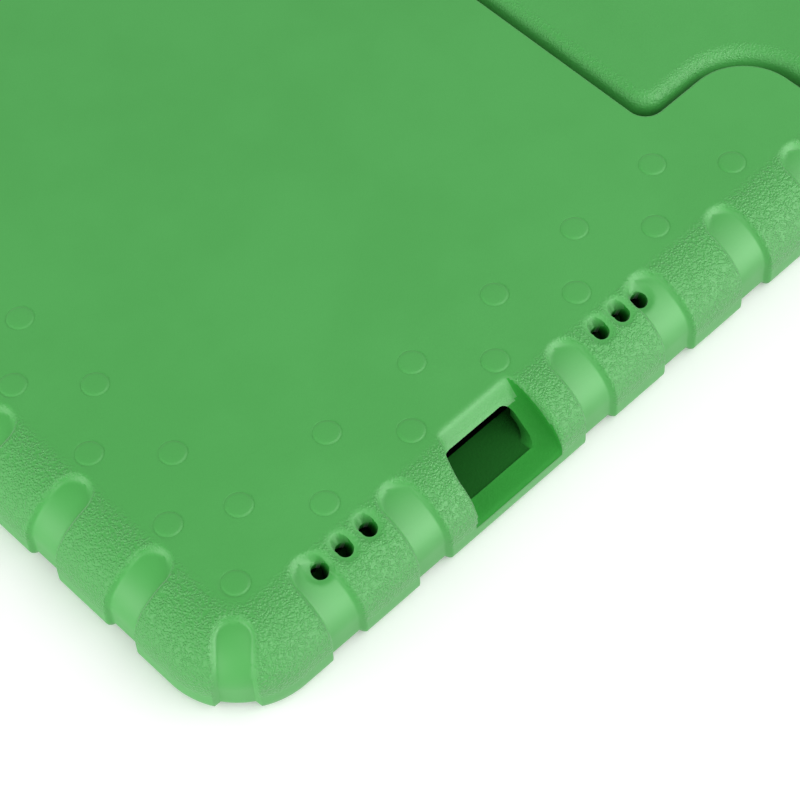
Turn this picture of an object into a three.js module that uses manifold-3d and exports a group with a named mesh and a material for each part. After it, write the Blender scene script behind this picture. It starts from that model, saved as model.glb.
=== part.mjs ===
// A child's tablet case moulded in thick foam, lying back up, with a carry handle that
// turns on two pins and folds back to make a stand.
// Millimetres. X runs from the lower long edge to the handle, Y from the port edge to the
// far edge, Z up out of the back. The origin is under the middle of the whole case.
import * as THREE from 'three';
import { mergeVertices } from 'three/addons/utils/BufferGeometryUtils.js';
import Module from 'manifold-3d';

const wasm = await Module();
wasm.setup();

// The tablet that the case is made for, and the play round it.
const tabletLength = 248;
const tabletWidth = 177.5;
const tabletThickness = 7;
const tabletCornerRadius = 10;
const tabletPlay = 0.5;

// Walls of the foam shell.
const endWall = 15.5;
const lowerWall = 15.5;
const upperWall = 15;
const backThickness = 7;
const frontRim = 10.5;
const screenLip = 3.5;
const screenFlare = 4;
const screenFlareTop = 8.5;
const screenFlareLand = 2;

// Outer form: corner radius in plan, the rolled shoulder of the back and the front edge.
const outerCornerRadius = 25;
const shoulderWidth = 20;
const shoulderDrop = 15;
const frontEdgeRadius = 4;

// Ears that hold the handle, and the handle itself.
const earWidth = 53;
const earLength = 40;
const earCornerRadius = 18;
const earRootRadius = 6;
const earEndRound = 1.5;
const waistGap = 2.5;
const earEndGap = 3.5;
const handleReach = 46;
const handleEdgeRadius = 6;
const handSlotLength = 106;
const handSlotWidth = 30;
const handSlotEndFlat = 0.4;
const gripWidth = 24;
const floorClearance = 0.5;

// Hinge pins, one in each ear, pressed into the handle.
const pinRadius = 5;
const pinLength = 34;
const pinClearance = 0.3;

// Finger grooves that run down the rolled edge.
const groovePitch = 31.5;
const grooveShift = -1.2;
const grooveWidth = 10.8;
const grooveDepth = 1.8;
const grooveReach = 18;
const grooveCornerReach = 10.5;
const grooveEndMargin = 45;

// Speaker holes, port recess and camera window.
const speakerHoleRadius = 2.6;
const speakerSpacing = 8.2;
const speakerOffset = 51.5;
const speakerInset = 12;
const speakerLean = 15;
const portWidth = 27;
const portTopReach = 19.6;
const portTopSlope = 1.2;
const portTopStep = 2.5;
const portLipLength = 7;
const portLipStep = 0.6;
const portLipFall = 3.1;
const portPocket = 2.1;
const cameraRadius = 9;
const cameraInset = 15;
const cameraFlare = 2.5;

// Sizes that follow from the ones above.
const cavityLength = tabletLength + 2 * tabletPlay;
const cavityWidth = tabletWidth + 2 * tabletPlay;
const cavityHeight = tabletThickness + tabletPlay;
const cavityRadius = tabletCornerRadius + tabletPlay;
const caseLength = cavityLength + 2 * endWall;
const shellWidth = lowerWall + cavityWidth + upperWall;
const earEndX = shellWidth + earLength;
const caseWidth = earEndX + handleReach;
const thickness = frontRim + cavityHeight + backThickness;
const cavityTop = frontRim + cavityHeight;
const portX = lowerWall + cavityWidth / 2;
const middleY = caseLength / 2;
const hingeX = shellWidth + earLength / 2;
const hingeZ = thickness / 2;
const waistX = shellWidth + waistGap;
const flareX = earEndX + earEndGap;
const waistY = earWidth + waistGap;
const overshoot = 5;
const cutOverlap = 0.1;

const curveSteps = 6;
const bevelSteps = 7;
const roundSides = 24;

// Booleans work on closed meshes whose shared corners are merged.
function solid(geometry) {
  const bare = geometry.index ? geometry.toNonIndexed() : geometry.clone();
  bare.deleteAttribute('normal');
  bare.deleteAttribute('uv');
  const merged = mergeVertices(bare, 1e-4);
  const mesh = new wasm.Mesh({
    numProp: 3,
    vertProperties: new Float32Array(merged.attributes.position.array),
    triVerts: new Uint32Array(merged.index.array),
  });
  return new wasm.Manifold(mesh);
}

function toGeometry(manifold) {
  const mesh = manifold.getMesh();
  const geometry = new THREE.BufferGeometry();
  geometry.setAttribute('position', new THREE.BufferAttribute(mesh.vertProperties, 3));
  geometry.setIndex(new THREE.BufferAttribute(mesh.triVerts, 1));
  geometry.computeVertexNormals();
  return geometry;
}

function joined(solids) {
  return solids.reduce((whole, next) => whole.add(next));
}

// A rectangle with round corners, counter-clockwise from its lower left.
function roundedRectangle(x0, y0, x1, y1, radius) {
  const shape = new THREE.Shape();
  shape.moveTo(x0 + radius, y0);
  shape.lineTo(x1 - radius, y0);
  shape.absarc(x1 - radius, y0 + radius, radius, -Math.PI / 2, 0, false);
  shape.lineTo(x1, y1 - radius);
  shape.absarc(x1 - radius, y1 - radius, radius, 0, Math.PI / 2, false);
  shape.lineTo(x0 + radius, y1);
  shape.absarc(x0 + radius, y1 - radius, radius, Math.PI / 2, Math.PI, false);
  shape.lineTo(x0, y0 + radius);
  shape.absarc(x0 + radius, y0 + radius, radius, Math.PI, 1.5 * Math.PI, false);
  return shape;
}

// A straight-sided slab of a shape between two heights.
function slab(shape, low, high, steps = curveSteps) {
  const geometry = new THREE.ExtrudeGeometry(shape, {
    depth: high - low,
    bevelEnabled: false,
    curveSegments: steps,
  });
  geometry.translate(0, 0, low);
  return solid(geometry);
}

// A slab whose upper and lower edges are rounded, inwards from the shape's outline.
function roundedSlab(shape, low, high, across, down, steps = bevelSteps) {
  const geometry = new THREE.ExtrudeGeometry(shape, {
    depth: high - low - 2 * down,
    bevelEnabled: true,
    bevelThickness: down,
    bevelSize: across,
    bevelOffset: -across,
    bevelSegments: steps,
    curveSegments: curveSteps,
  });
  geometry.translate(0, 0, low + down);
  return solid(geometry);
}

// The case's whole outer form, drawn in by a margin on every side but the front.
function outerForm(margin) {
  const radius = outerCornerRadius - margin;
  const outline = roundedRectangle(margin, margin, caseWidth - margin, caseLength - margin, radius);
  const top = thickness - margin;
  const across = shoulderWidth - margin;
  const down = shoulderDrop - margin;
  const rolled = roundedSlab(outline, top - 4 * down, top, across, down);
  const front = roundedSlab(outline, 0, 2 * thickness, frontEdgeRadius, frontEdgeRadius, 3);
  return rolled.intersect(front);
}

// Plan of the shell: the body under the handle's waist and the two ears beside it.
function shellPlan() {
  const far = caseLength - earWidth;
  const shape = new THREE.Shape();
  shape.moveTo(-overshoot, -overshoot);
  shape.lineTo(earEndX, -overshoot);
  shape.lineTo(earEndX, earWidth - earCornerRadius);
  shape.absarc(
    earEndX - earCornerRadius, earWidth - earCornerRadius, earCornerRadius, 0, Math.PI / 2, false,
  );
  shape.lineTo(shellWidth + earRootRadius, earWidth);
  shape.absarc(
    shellWidth + earRootRadius, earWidth + earRootRadius, earRootRadius,
    1.5 * Math.PI, Math.PI, true,
  );
  shape.lineTo(shellWidth, far - earRootRadius);
  shape.absarc(
    shellWidth + earRootRadius, far - earRootRadius, earRootRadius, Math.PI, Math.PI / 2, true,
  );
  shape.lineTo(earEndX - earCornerRadius, far);
  shape.absarc(
    earEndX - earCornerRadius, far + earCornerRadius, earCornerRadius, 1.5 * Math.PI, 2 * Math.PI,
    false,
  );
  shape.lineTo(earEndX, caseLength + overshoot);
  shape.lineTo(-overshoot, caseLength + overshoot);
  return shape;
}

// Plan of the handle: a waist between the ears that widens past their ends.
function handlePlan() {
  const waistFar = caseLength - waistY;
  const cornerRadius = earRootRadius + waistGap;
  const turn = earCornerRadius + waistGap;
  const shape = new THREE.Shape();
  shape.moveTo(waistX, waistY + cornerRadius);
  shape.absarc(
    waistX + cornerRadius, waistY + cornerRadius, cornerRadius, Math.PI, 1.5 * Math.PI, false,
  );
  shape.lineTo(flareX - turn, waistY);
  shape.absarc(flareX - turn, waistY - turn, turn, Math.PI / 2, 0, true);
  shape.lineTo(flareX, -2 * overshoot);
  shape.lineTo(caseWidth + 2 * overshoot, -2 * overshoot);
  shape.lineTo(caseWidth + 2 * overshoot, caseLength + 2 * overshoot);
  shape.lineTo(flareX, caseLength + 2 * overshoot);
  shape.lineTo(flareX, waistFar + turn);
  shape.absarc(flareX - turn, waistFar + turn, turn, 2 * Math.PI, 1.5 * Math.PI, true);
  shape.lineTo(waistX + cornerRadius, waistFar);
  shape.absarc(
    waistX + cornerRadius, waistFar - cornerRadius, cornerRadius, Math.PI / 2, Math.PI, false,
  );
  return shape;
}

// One groove's plan: a slot with a round inner end, pointing along an angle from its mouth.
function groovePlan(x, y, angle, reach) {
  const half = grooveWidth / 2;
  const shape = new THREE.Shape();
  shape.moveTo(-2 * overshoot, -half);
  shape.lineTo(reach - half, -half);
  shape.absarc(reach - half, 0, half, -Math.PI / 2, Math.PI / 2, false);
  shape.lineTo(-2 * overshoot, half);
  const geometry = new THREE.ExtrudeGeometry(shape, {
    depth: thickness + 2 * overshoot,
    bevelEnabled: false,
    curveSegments: 5,
  });
  geometry.rotateZ(angle);
  geometry.translate(x, y, -overshoot);
  return solid(geometry);
}

function grooveSlots() {
  const slots = [];
  const perSide = Math.floor((caseLength - 2 * grooveEndMargin) / groovePitch) + 1;
  for (let k = 0; k < perSide; k += 1) {
    const y = middleY + grooveShift + (k - (perSide - 1) / 2) * groovePitch;
    slots.push(groovePlan(0, y, 0, grooveReach));
  }
  const first = -Math.floor((portX - outerCornerRadius) / groovePitch);
  const last = Math.floor((earEndX - grooveWidth - portX) / groovePitch);
  for (let k = first; k <= last; k += 1) {
    const x = portX + grooveShift + k * groovePitch;
    if (k !== 0) slots.push(groovePlan(x, 0, Math.PI / 2, grooveReach));
    slots.push(groovePlan(x, caseLength, -Math.PI / 2, grooveReach));
  }
  const onArc = outerCornerRadius * (1 - Math.SQRT1_2);
  slots.push(groovePlan(onArc, onArc, Math.PI / 4, grooveCornerReach + overshoot));
  slots.push(groovePlan(onArc, caseLength - onArc, -Math.PI / 4, grooveCornerReach + overshoot));
  return joined(slots);
}

// The tablet's room, the screen window below it and the flare of the window's edge.
function tabletRoom() {
  const x0 = lowerWall;
  const x1 = lowerWall + cavityWidth;
  const y0 = endWall;
  const y1 = endWall + cavityLength;
  const room = slab(roundedRectangle(x0, y0, x1, y1, cavityRadius), frontRim, cavityTop);
  const lipRadius = cavityRadius - screenLip;
  const opening = roundedRectangle(
    x0 + screenLip, y0 + screenLip, x1 - screenLip, y1 - screenLip, lipRadius,
  );
  const windowCut = slab(opening, -overshoot, frontRim + cutOverlap);
  const rim = roundedSlab(
    roundedRectangle(
      x0 + screenLip - screenFlare, y0 + screenLip - screenFlare,
      x1 - screenLip + screenFlare, y1 - screenLip + screenFlare, lipRadius + screenFlare,
    ),
    -screenFlareTop, screenFlareTop, screenFlare, screenFlareTop - screenFlareLand, 1,
  );
  return joined([room, windowCut, rim]);
}

// The recess over the port: steep at the panel, open outwards, with a lip that falls away
// outside and a shallow pocket behind it.
function portRecess() {
  const floor = frontRim;
  const mouth = floor + portLipStep - portLipFall;
  const pocket = floor - portPocket;
  const inner = endWall + screenLip + cutOverlap;
  const shape = new THREE.Shape();
  shape.moveTo(-overshoot, mouth);
  shape.lineTo(0, mouth);
  shape.lineTo(portLipLength, floor + portLipStep);
  shape.lineTo(portLipLength, pocket);
  shape.lineTo(inner, pocket);
  shape.lineTo(inner, cavityTop - portTopStep);
  shape.lineTo(endWall + portTopSlope, cavityTop);
  shape.lineTo(portTopReach, thickness);
  shape.lineTo(portTopReach, thickness + overshoot);
  shape.lineTo(-overshoot, thickness + overshoot);
  const geometry = new THREE.ExtrudeGeometry(shape, { depth: portWidth, bevelEnabled: false });
  geometry.rotateX(Math.PI / 2);
  geometry.rotateZ(Math.PI / 2);
  geometry.translate(portX - portWidth / 2, 0, 0);
  return solid(geometry);
}

// A hole from the rolled edge into the tablet's room, leaning inwards as it goes down.
function speakerHole(x, y, inward) {
  const length = thickness - frontRim + overshoot;
  const hole = new THREE.CylinderGeometry(speakerHoleRadius, speakerHoleRadius, length, 14);
  hole.rotateX(Math.PI / 2);
  hole.translate(0, 0, overshoot - length / 2);
  hole.rotateX(inward * THREE.MathUtils.degToRad(speakerLean));
  hole.translate(x, y, thickness);
  return solid(hole);
}

function speakerHoles() {
  const holes = [];
  for (const side of [-1, 1]) {
    for (const step of [-1, 0, 1]) {
      const x = portX + side * speakerOffset + step * speakerSpacing;
      holes.push(speakerHole(x, speakerInset, 1));
      holes.push(speakerHole(x, caseLength - speakerInset, -1));
    }
  }
  return joined(holes);
}

// The camera's round window in the back, wider at the outside.
function cameraWindow() {
  const wide = cameraRadius + cameraFlare;
  const low = cavityTop - 1;
  const points = [
    new THREE.Vector2(0, low),
    new THREE.Vector2(cameraRadius, low),
    new THREE.Vector2(cameraRadius, thickness - cameraFlare),
    new THREE.Vector2(wide, thickness),
    new THREE.Vector2(wide, thickness + overshoot),
    new THREE.Vector2(0, thickness + overshoot),
  ];
  const cut = new THREE.LatheGeometry(points, roundSides);
  cut.rotateX(Math.PI / 2);
  cut.translate(
    lowerWall + tabletPlay + cameraInset, caseLength - endWall - tabletPlay - cameraInset, 0,
  );
  return solid(cut);
}

// One long hole holds a pin's two halves, in the ear and in the handle.
function pinBore(y, inward) {
  const radius = pinRadius + pinClearance;
  const length = pinLength + 2 * pinClearance;
  const bore = new THREE.CylinderGeometry(radius, radius, length, roundSides);
  bore.translate(hingeX, y + inward * (waistGap / 2), hingeZ);
  return solid(bore);
}

const pinBores = pinBore(earWidth, 1).add(pinBore(caseLength - earWidth, -1));

function caseBody() {
  const plan = roundedSlab(shellPlan(), 0, thickness, earEndRound, earEndRound, 2);
  const whole = outerForm(0).intersect(plan);
  const grooves = grooveSlots().subtract(outerForm(grooveDepth));
  return whole
    .subtract(grooves)
    .subtract(tabletRoom())
    .subtract(portRecess())
    .subtract(speakerHoles())
    .subtract(cameraWindow())
    .subtract(pinBores);
}

function handleStand() {
  const bar = roundedSlab(
    handlePlan(), floorClearance, thickness, handleEdgeRadius, handleEdgeRadius, 5,
  );
  const slotX1 = caseWidth - gripWidth;
  const slot = roundedRectangle(
    slotX1 - handSlotWidth, middleY - handSlotLength / 2,
    slotX1, middleY + handSlotLength / 2, (handSlotWidth - handSlotEndFlat) / 2,
  );
  const handSlot = slab(slot, -overshoot, thickness + overshoot, 8);
  return outerForm(0).intersect(bar).subtract(handSlot).subtract(pinBores);
}

function hingePin(y, inward) {
  const pin = new THREE.CylinderGeometry(pinRadius, pinRadius, pinLength, roundSides);
  pin.translate(hingeX, y + inward * (waistGap / 2), hingeZ);
  return solid(pin);
}

const foam = { color: 0x55aa58, roughness: 0.62, metalness: 0 };
const plastic = { color: 0x2f6d33, roughness: 0.45, metalness: 0 };

function part(name, manifold, finish) {
  const mesh = new THREE.Mesh(toGeometry(manifold), new THREE.MeshStandardMaterial(finish));
  mesh.name = name;
  return mesh;
}

const tabletCase = new THREE.Group();
tabletCase.add(part('case_body', caseBody(), foam));
tabletCase.add(part('handle_stand', handleStand(), foam));
tabletCase.add(part('hinge_pin_port_end', hingePin(earWidth, 1), plastic));
tabletCase.add(part('hinge_pin_far_end', hingePin(caseLength - earWidth, -1), plastic));
tabletCase.position.set(-caseWidth / 2, -caseLength / 2, 0);
tabletCase.updateMatrixWorld(true);

export default tabletCase;
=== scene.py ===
# %% [markdown]
# # A foam tablet case with a carry handle
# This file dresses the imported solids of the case. It loads them as a fixed frame, models
# the foam shell and the foam handle afresh with soft edges, grooves and dots, gives
# every piece a procedural finish, and sets up light and camera.
# Sizes are written in millimetres on the case's own plan, as a mould maker would have
# them: x from the lower long edge to the handle, y from the port edge to the far edge
# and z up out of the back. One function turns them into Blender's metres.

# %% Load the frame
import math
import bmesh
import bpy
import numpy as np
from mathutils import Matrix, Vector


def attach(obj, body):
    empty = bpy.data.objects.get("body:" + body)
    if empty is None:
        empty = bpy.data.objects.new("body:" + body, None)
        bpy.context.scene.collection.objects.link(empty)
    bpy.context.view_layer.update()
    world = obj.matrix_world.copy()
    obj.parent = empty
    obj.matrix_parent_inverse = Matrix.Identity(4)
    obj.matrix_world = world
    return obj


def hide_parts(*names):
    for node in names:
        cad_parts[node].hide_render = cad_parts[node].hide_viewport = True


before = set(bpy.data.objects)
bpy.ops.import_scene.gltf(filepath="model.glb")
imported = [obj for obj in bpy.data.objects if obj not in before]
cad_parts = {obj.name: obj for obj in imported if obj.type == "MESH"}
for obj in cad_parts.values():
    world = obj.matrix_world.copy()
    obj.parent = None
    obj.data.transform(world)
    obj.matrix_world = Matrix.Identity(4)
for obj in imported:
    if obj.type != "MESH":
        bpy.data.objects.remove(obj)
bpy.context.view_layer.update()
print("frame nodes:", sorted(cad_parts))

# %% [markdown]
# ## The camera comes first
# The dots on the back lie on a regular grid, and that grid gave the photograph's
# viewpoint: a long lens, 56 degrees above the panel, over the port corner. The three
# rows below are the image's right, its down and the line of sight.

# %% Camera
IMAGE_SIZE = 800
FOCAL_PIXELS = 2795.19
SENSOR_MM = 36.0
VIEW_RIGHT = (0.7153126, -0.69767721, -0.03967868)
VIEW_DOWN = (-0.59341497, -0.57646772, -0.56173271)
VIEW_AHEAD = (0.36903463, 0.42536041, -0.82636672)
VIEW_PLACE = (-0.32823801, -0.4213284, 0.63924876)

camera_data = bpy.data.cameras.new("photo_camera")
camera_data.sensor_width = SENSOR_MM
camera_data.lens = FOCAL_PIXELS / IMAGE_SIZE * SENSOR_MM
camera_data.clip_start = 0.01
camera_data.clip_end = 50.0
camera = bpy.data.objects.new("photo_camera", camera_data)
bpy.context.scene.collection.objects.link(camera)
turn = Matrix((VIEW_RIGHT, [-c for c in VIEW_DOWN], [-c for c in VIEW_AHEAD])).transposed()
camera.matrix_world = Matrix.Translation(VIEW_PLACE) @ turn.to_4x4()
bpy.context.scene.camera = camera
print("lens", round(camera_data.lens, 1), "mm")

# %% [markdown]
# ## The sizes of the case
# Everything that the pieces share stands here once: the outline, the rolled shoulder,
# the room for the tablet, the grooves' pitch, the speaker holes, the ears and the hinge.
# BEYOND is how far a cutter reaches past the face that it cuts.

# %% Sizes in millimetres
CASE_X = 295.0
CASE_Y = 280.0
THICK = 25.0
CORNER = 25.0
SHOULDER_ACROSS = 20.0
SHOULDER_DROP = 15.0
FRONT_ROUND = 4.0
FRONT_FLAT = 6.0
BEYOND = 5.0
PORT_MIDDLE = 104.75
GROOVE_PITCH = 31.5
GROOVE_SHIFT = -1.2
GROOVE_DEPTH = 1.6
GROOVE_FLOOR = 4.7
GROOVE_MOUTH = 6.3
GROOVE_END = 12.8
CORNER_GROOVE_END = 9.4
ROOM_LOW = (15.5, 15.5)
ROOM_HIGH = (194.0, 264.5)
ROOM_CORNER = 10.5
LEDGE_Z = 10.5
CEILING_Z = 18.0
HOLE_INSET = 12.4
HOLE_RADIUS = 2.45
EAR_END = 249.0
HINGE_X = 229.0
HINGE_Z = 12.5
FRAME_MIDDLE = (CASE_X / 2, CASE_Y / 2)
TO_METRES = 0.001


def metres(points):
    """Case plan in millimetres to the frame's metres."""
    spot = np.asarray(points, float).copy()
    spot[..., 0] -= FRAME_MIDDLE[0]
    spot[..., 1] -= FRAME_MIDDLE[1]
    return spot * TO_METRES


port_grooves = [PORT_MIDDLE + GROOVE_SHIFT + k * GROOVE_PITCH for k in (-2, -1, 1, 2, 3, 4)]
far_grooves = [PORT_MIDDLE + GROOVE_SHIFT + k * GROOVE_PITCH for k in range(-2, 5)]
side_grooves = [CASE_Y / 2 + GROOVE_SHIFT + k * GROOVE_PITCH for k in range(-3, 4)]
hole_places = [43.6, 52.2, 60.8, 148.0, 156.1, 163.6]


def speaker_holes():
    """Each speaker hole's place on the back, and the way from its edge to the panel."""
    return [(x, edge, way) for x in hole_places
            for edge, way in ((HOLE_INSET, 1), (CASE_Y - HOLE_INSET, -1))]


print("grooves:", len(port_grooves) + len(far_grooves) + len(side_grooves) + 2)

# %% [markdown]
# ## Helpers for swept forms
# Almost every surface of a moulded case is one profile carried round one outline: the
# rolled rim, the tablet's room, the cut between shell and handle. So one helper starts
# from a bmesh grid, lays its columns round an outline and its rows down a profile, joins
# the ends and caps the two open rims.

# %% Outlines and profiles
SAME_SPOT = 1e-6
CLOSEST_MARKS = 0.25
LARGEST_SHARE = 0.48


def arc(centre, radius, start, end, steps):
    """Points on an arc, angles in degrees, both ends included."""
    angles = np.radians(np.linspace(start, end, steps + 1))
    ring = np.stack([np.cos(angles), np.sin(angles)], axis=1)
    return np.asarray(centre) + radius * ring


def joined_path(*parts):
    """Runs of points set one after another, with repeated points left out."""
    path = np.concatenate([np.atleast_2d(np.asarray(part, float)) for part in parts])
    keep = [0]
    for i in range(1, len(path)):
        if np.linalg.norm(path[i] - path[keep[-1]]) > SAME_SPOT:
            keep.append(i)
    return path[keep]


def inward(outline):
    """Mitred inward directions of a closed, counter-clockwise outline."""
    step = np.roll(outline, -1, axis=0) - outline
    step /= np.linalg.norm(step, axis=1)[:, None]
    left = np.stack([-step[:, 1], step[:, 0]], axis=1)
    before = np.roll(left, 1, axis=0)
    share = 1.0 + (left * before).sum(axis=1)
    return (left + before) / share[:, None]


def even(low, high, marks, gap):
    """Sorted positions: marks that aren't too close, and even steps no wider than gap."""
    fixed = sorted(m for m in marks if low < m < high)
    spots = [low]
    for mark in fixed + [high]:
        if mark - spots[-1] < CLOSEST_MARKS and mark != high:
            continue
        count = max(1, math.ceil((mark - spots[-1]) / gap - SAME_SPOT))
        start = spots[-1]
        spots += [start + (mark - start) * i / count for i in range(1, count + 1)]
    return np.array(spots)


def rounded_path(corners, radii, steps=6):
    """A polyline whose corners are rounded by arcs of the given radii."""
    corners = [np.asarray(c, float) for c in corners]
    path = [corners[0]]
    for i in range(1, len(corners) - 1):
        before = corners[i - 1] - corners[i]
        after = corners[i + 1] - corners[i]
        room = min(np.linalg.norm(before), np.linalg.norm(after)) * LARGEST_SHARE
        reach = min(radii[i], room)
        start = corners[i] + before / np.linalg.norm(before) * reach
        end = corners[i] + after / np.linalg.norm(after) * reach
        for t in np.linspace(0.0, 1.0, steps + 1):
            path.append((1 - t) ** 2 * start + 2 * t * (1 - t) * corners[i] + t * t * end)
    path.append(corners[-1])
    return joined_path(path)


def rectangle(low, high, radius, steps=12, gap=400.0):
    """A closed rectangle with round corners, counter-clockwise."""
    (x0, y0), (x1, y1) = low, high
    r = radius
    return joined_path(
        [(x, y0) for x in even(x0 + r, x1 - r, [], gap)],
        arc((x1 - r, y0 + r), r, -90, 0, steps),
        [(x1, y) for y in even(y0 + r, y1 - r, [], gap)],
        arc((x1 - r, y1 - r), r, 0, 90, steps),
        [(x, y1) for x in even(x0 + r, x1 - r, [], gap)[::-1]],
        arc((x0 + r, y1 - r), r, 90, 180, steps),
        [(x0, y) for y in even(y0 + r, y1 - r, [], gap)[::-1]],
        arc((x0 + r, y0 + r), r, 180, 270, steps),
    )[:-1]


# %% Grid to solid


def new_piece(name, bm):
    """A scene object that takes over a finished bmesh."""
    mesh = bpy.data.meshes.new(name)
    bm.to_mesh(mesh)
    bm.free()
    piece = bpy.data.objects.new(name, mesh)
    bpy.context.scene.collection.objects.link(piece)
    return piece


def grid_solid(name, places):
    """Closes a grid of places, rows by columns, round its columns and caps both rims."""
    rows, columns = places.shape[:2]
    bm = bmesh.new()
    bmesh.ops.create_grid(bm, x_segments=columns, y_segments=rows - 1, size=1.0)
    closed = np.concatenate([places, places[:, :1]], axis=1)
    spots = metres(closed)
    for vert in bm.verts:
        column = round((vert.co.x + 1.0) / 2.0 * columns)
        row = round((vert.co.y + 1.0) / 2.0 * (rows - 1))
        vert.co = spots[row, column]
    bmesh.ops.remove_doubles(bm, verts=bm.verts, dist=1e-7)
    rims = [edge for edge in bm.edges if len(edge.link_faces) == 1]
    bmesh.ops.edgeloop_fill(bm, edges=rims)
    bmesh.ops.recalc_face_normals(bm, faces=bm.faces)
    return new_piece(name, bm)


def sweep(name, outline, profile):
    """A profile of (inset, height) carried round an outline as one closed solid."""
    outline = np.asarray(outline, float)
    normal = inward(outline)
    inset = np.array([p[0] for p in profile])[:, None, None]
    height = np.array([p[1] for p in profile])[:, None]
    plan = outline[None] + normal[None] * inset
    tall = np.broadcast_to(height, plan.shape[:2])
    return grid_solid(name, np.concatenate([plan, tall[..., None]], axis=2))


def combine(piece, cutters, operation):
    """Joins, cuts or intersects a piece with cutters, and removes the cutters."""
    for cutter in cutters:
        change = piece.modifiers.new("cut", "BOOLEAN")
        change.operation = operation
        change.solver = "EXACT"
        change.object = cutter
    graph = bpy.context.evaluated_depsgraph_get()
    result = bpy.data.meshes.new_from_object(piece.evaluated_get(graph))
    piece.modifiers.clear()
    old = piece.data
    piece.data = result
    result.name = piece.name
    bpy.data.meshes.remove(old)
    for cutter in cutters:
        bpy.data.objects.remove(cutter)
    print(piece.name, "has", len(result.polygons), "faces after", operation.lower())


# %% [markdown]
# ## The outer form
# The case is a flat back panel with a rim that rolls over a quarter ellipse, drops down a
# short wall and turns under at the front. The rows of the grid follow that profile. The
# columns stand close together where grooves, holes and the port need them, and far apart
# elsewhere.

# %% Profile rows of the outer form
SHOULDER_ROWS = 36
WALL_HEIGHTS = (9.0, 8.0, 7.0, 6.0, 5.0)
WALL_ROW_Z = WALL_HEIGHTS[2]
shoulder_turn = np.linspace(0.0, math.pi / 2, 400)
shoulder_line = np.stack([
    SHOULDER_ACROSS * (1 - np.sin(shoulder_turn)),
    THICK - SHOULDER_DROP + SHOULDER_DROP * np.cos(shoulder_turn),
], axis=1)


def resample(line, count):
    """A polyline as count + 1 points at even distances along it."""
    run = np.concatenate([[0.0], np.cumsum(np.linalg.norm(np.diff(line, axis=0), axis=1))])
    spots = np.linspace(0.0, run[-1], count + 1)
    return np.stack([np.interp(spots, run, line[:, i]) for i in range(line.shape[1])], axis=1)


outer_profile = joined_path(
    resample(shoulder_line, SHOULDER_ROWS),
    [(0.0, z) for z in WALL_HEIGHTS],
    arc((FRONT_ROUND, FRONT_ROUND), FRONT_ROUND, 180, 270, 6),
    [(FRONT_FLAT, 0.0)],
)


def profile_out(profile):
    """Outward directions along a profile of (inset, height)."""
    step = np.gradient(profile, axis=0)
    step /= np.linalg.norm(step, axis=1)[:, None]
    return np.stack([step[:, 1], -step[:, 0]], axis=1)


print("rows:", len(outer_profile))

# %% [markdown]
# ## Finger grooves
# A groove is a flat-floored channel with a round end and soft walls, pressed into the
# rolled rim. Modelled as a cut it would have knife edges, so instead each point of the
# rim moves inwards by an amount that depends only on how far it lies, in plan, from the
# groove's middle line. Round each speaker hole the rim dips a little in the same way.

# %% How deep the grooves press at a place


def distance_to_line(x, y, start, end):
    """Plan distance from places to a straight middle line."""
    start = np.asarray(start, float)
    along = np.asarray(end, float) - start
    length = np.linalg.norm(along)
    along /= length
    run = np.clip((x - start[0]) * along[0] + (y - start[1]) * along[1], 0.0, length)
    return np.hypot(x - start[0] - run * along[0], y - start[1] - run * along[1])


def groove_lines():
    """Middle lines of all grooves, from outside the case to the centre of the round end."""
    away = 2 * BEYOND
    lines = [((x, -away), (x, GROOVE_END)) for x in port_grooves]
    lines += [((x, CASE_Y + away), (x, CASE_Y - GROOVE_END)) for x in far_grooves]
    lines += [((-away, y), (GROOVE_END, y)) for y in side_grooves]
    on_arc = CORNER * (1 - math.sqrt(0.5))
    end = on_arc + CORNER_GROOVE_END * math.sqrt(0.5)
    lines.append(((-BEYOND, -BEYOND), (end, end)))
    lines.append(((-BEYOND, CASE_Y + BEYOND), (end, CASE_Y - end)))
    return lines


def smooth(value):
    """A soft step from 0 to 1."""
    t = np.clip(value, 0.0, 1.0)
    return t * t * (3 - 2 * t)


def groove_press(x, y, floor=GROOVE_FLOOR, mouth=GROOVE_MOUTH):
    """1 on a groove's floor, 0 away from it, and a rolled slope between."""
    press = np.zeros(np.shape(x))
    for start, end in groove_lines():
        away = distance_to_line(x, y, start, end)
        press = np.maximum(press, smooth((mouth - away) / (mouth - floor)))
    return press


DIP_SHIFT = 0.9
DIP_REACH = 5.0
DIP_SLOPE = 2.4
DIP_DEPTH = 0.9


def hole_dip(x, y):
    """1 at a speaker hole's mouth, fading to 0 round it."""
    dip = np.zeros(np.shape(x))
    for place, edge, way in speaker_holes():
        away = np.hypot(x - place, y - (edge + way * DIP_SHIFT))
        dip = np.maximum(dip, smooth((DIP_REACH - away) / DIP_SLOPE))
    return dip


# %% [markdown]
# ## The port recess
# Over the port the rim is scooped away: a steep wall falls from the panel to a slope that
# runs down to a seam, and below the seam a lip falls outwards. Of the two side walls, the
# right one stands square to the edge and the left one leans out. The grid has its own
# columns for them, and each row follows a small path of its own: over the rounded edge,
# down the wall, and into the soft inner corner. Places in the recess are (inset, height).

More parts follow.
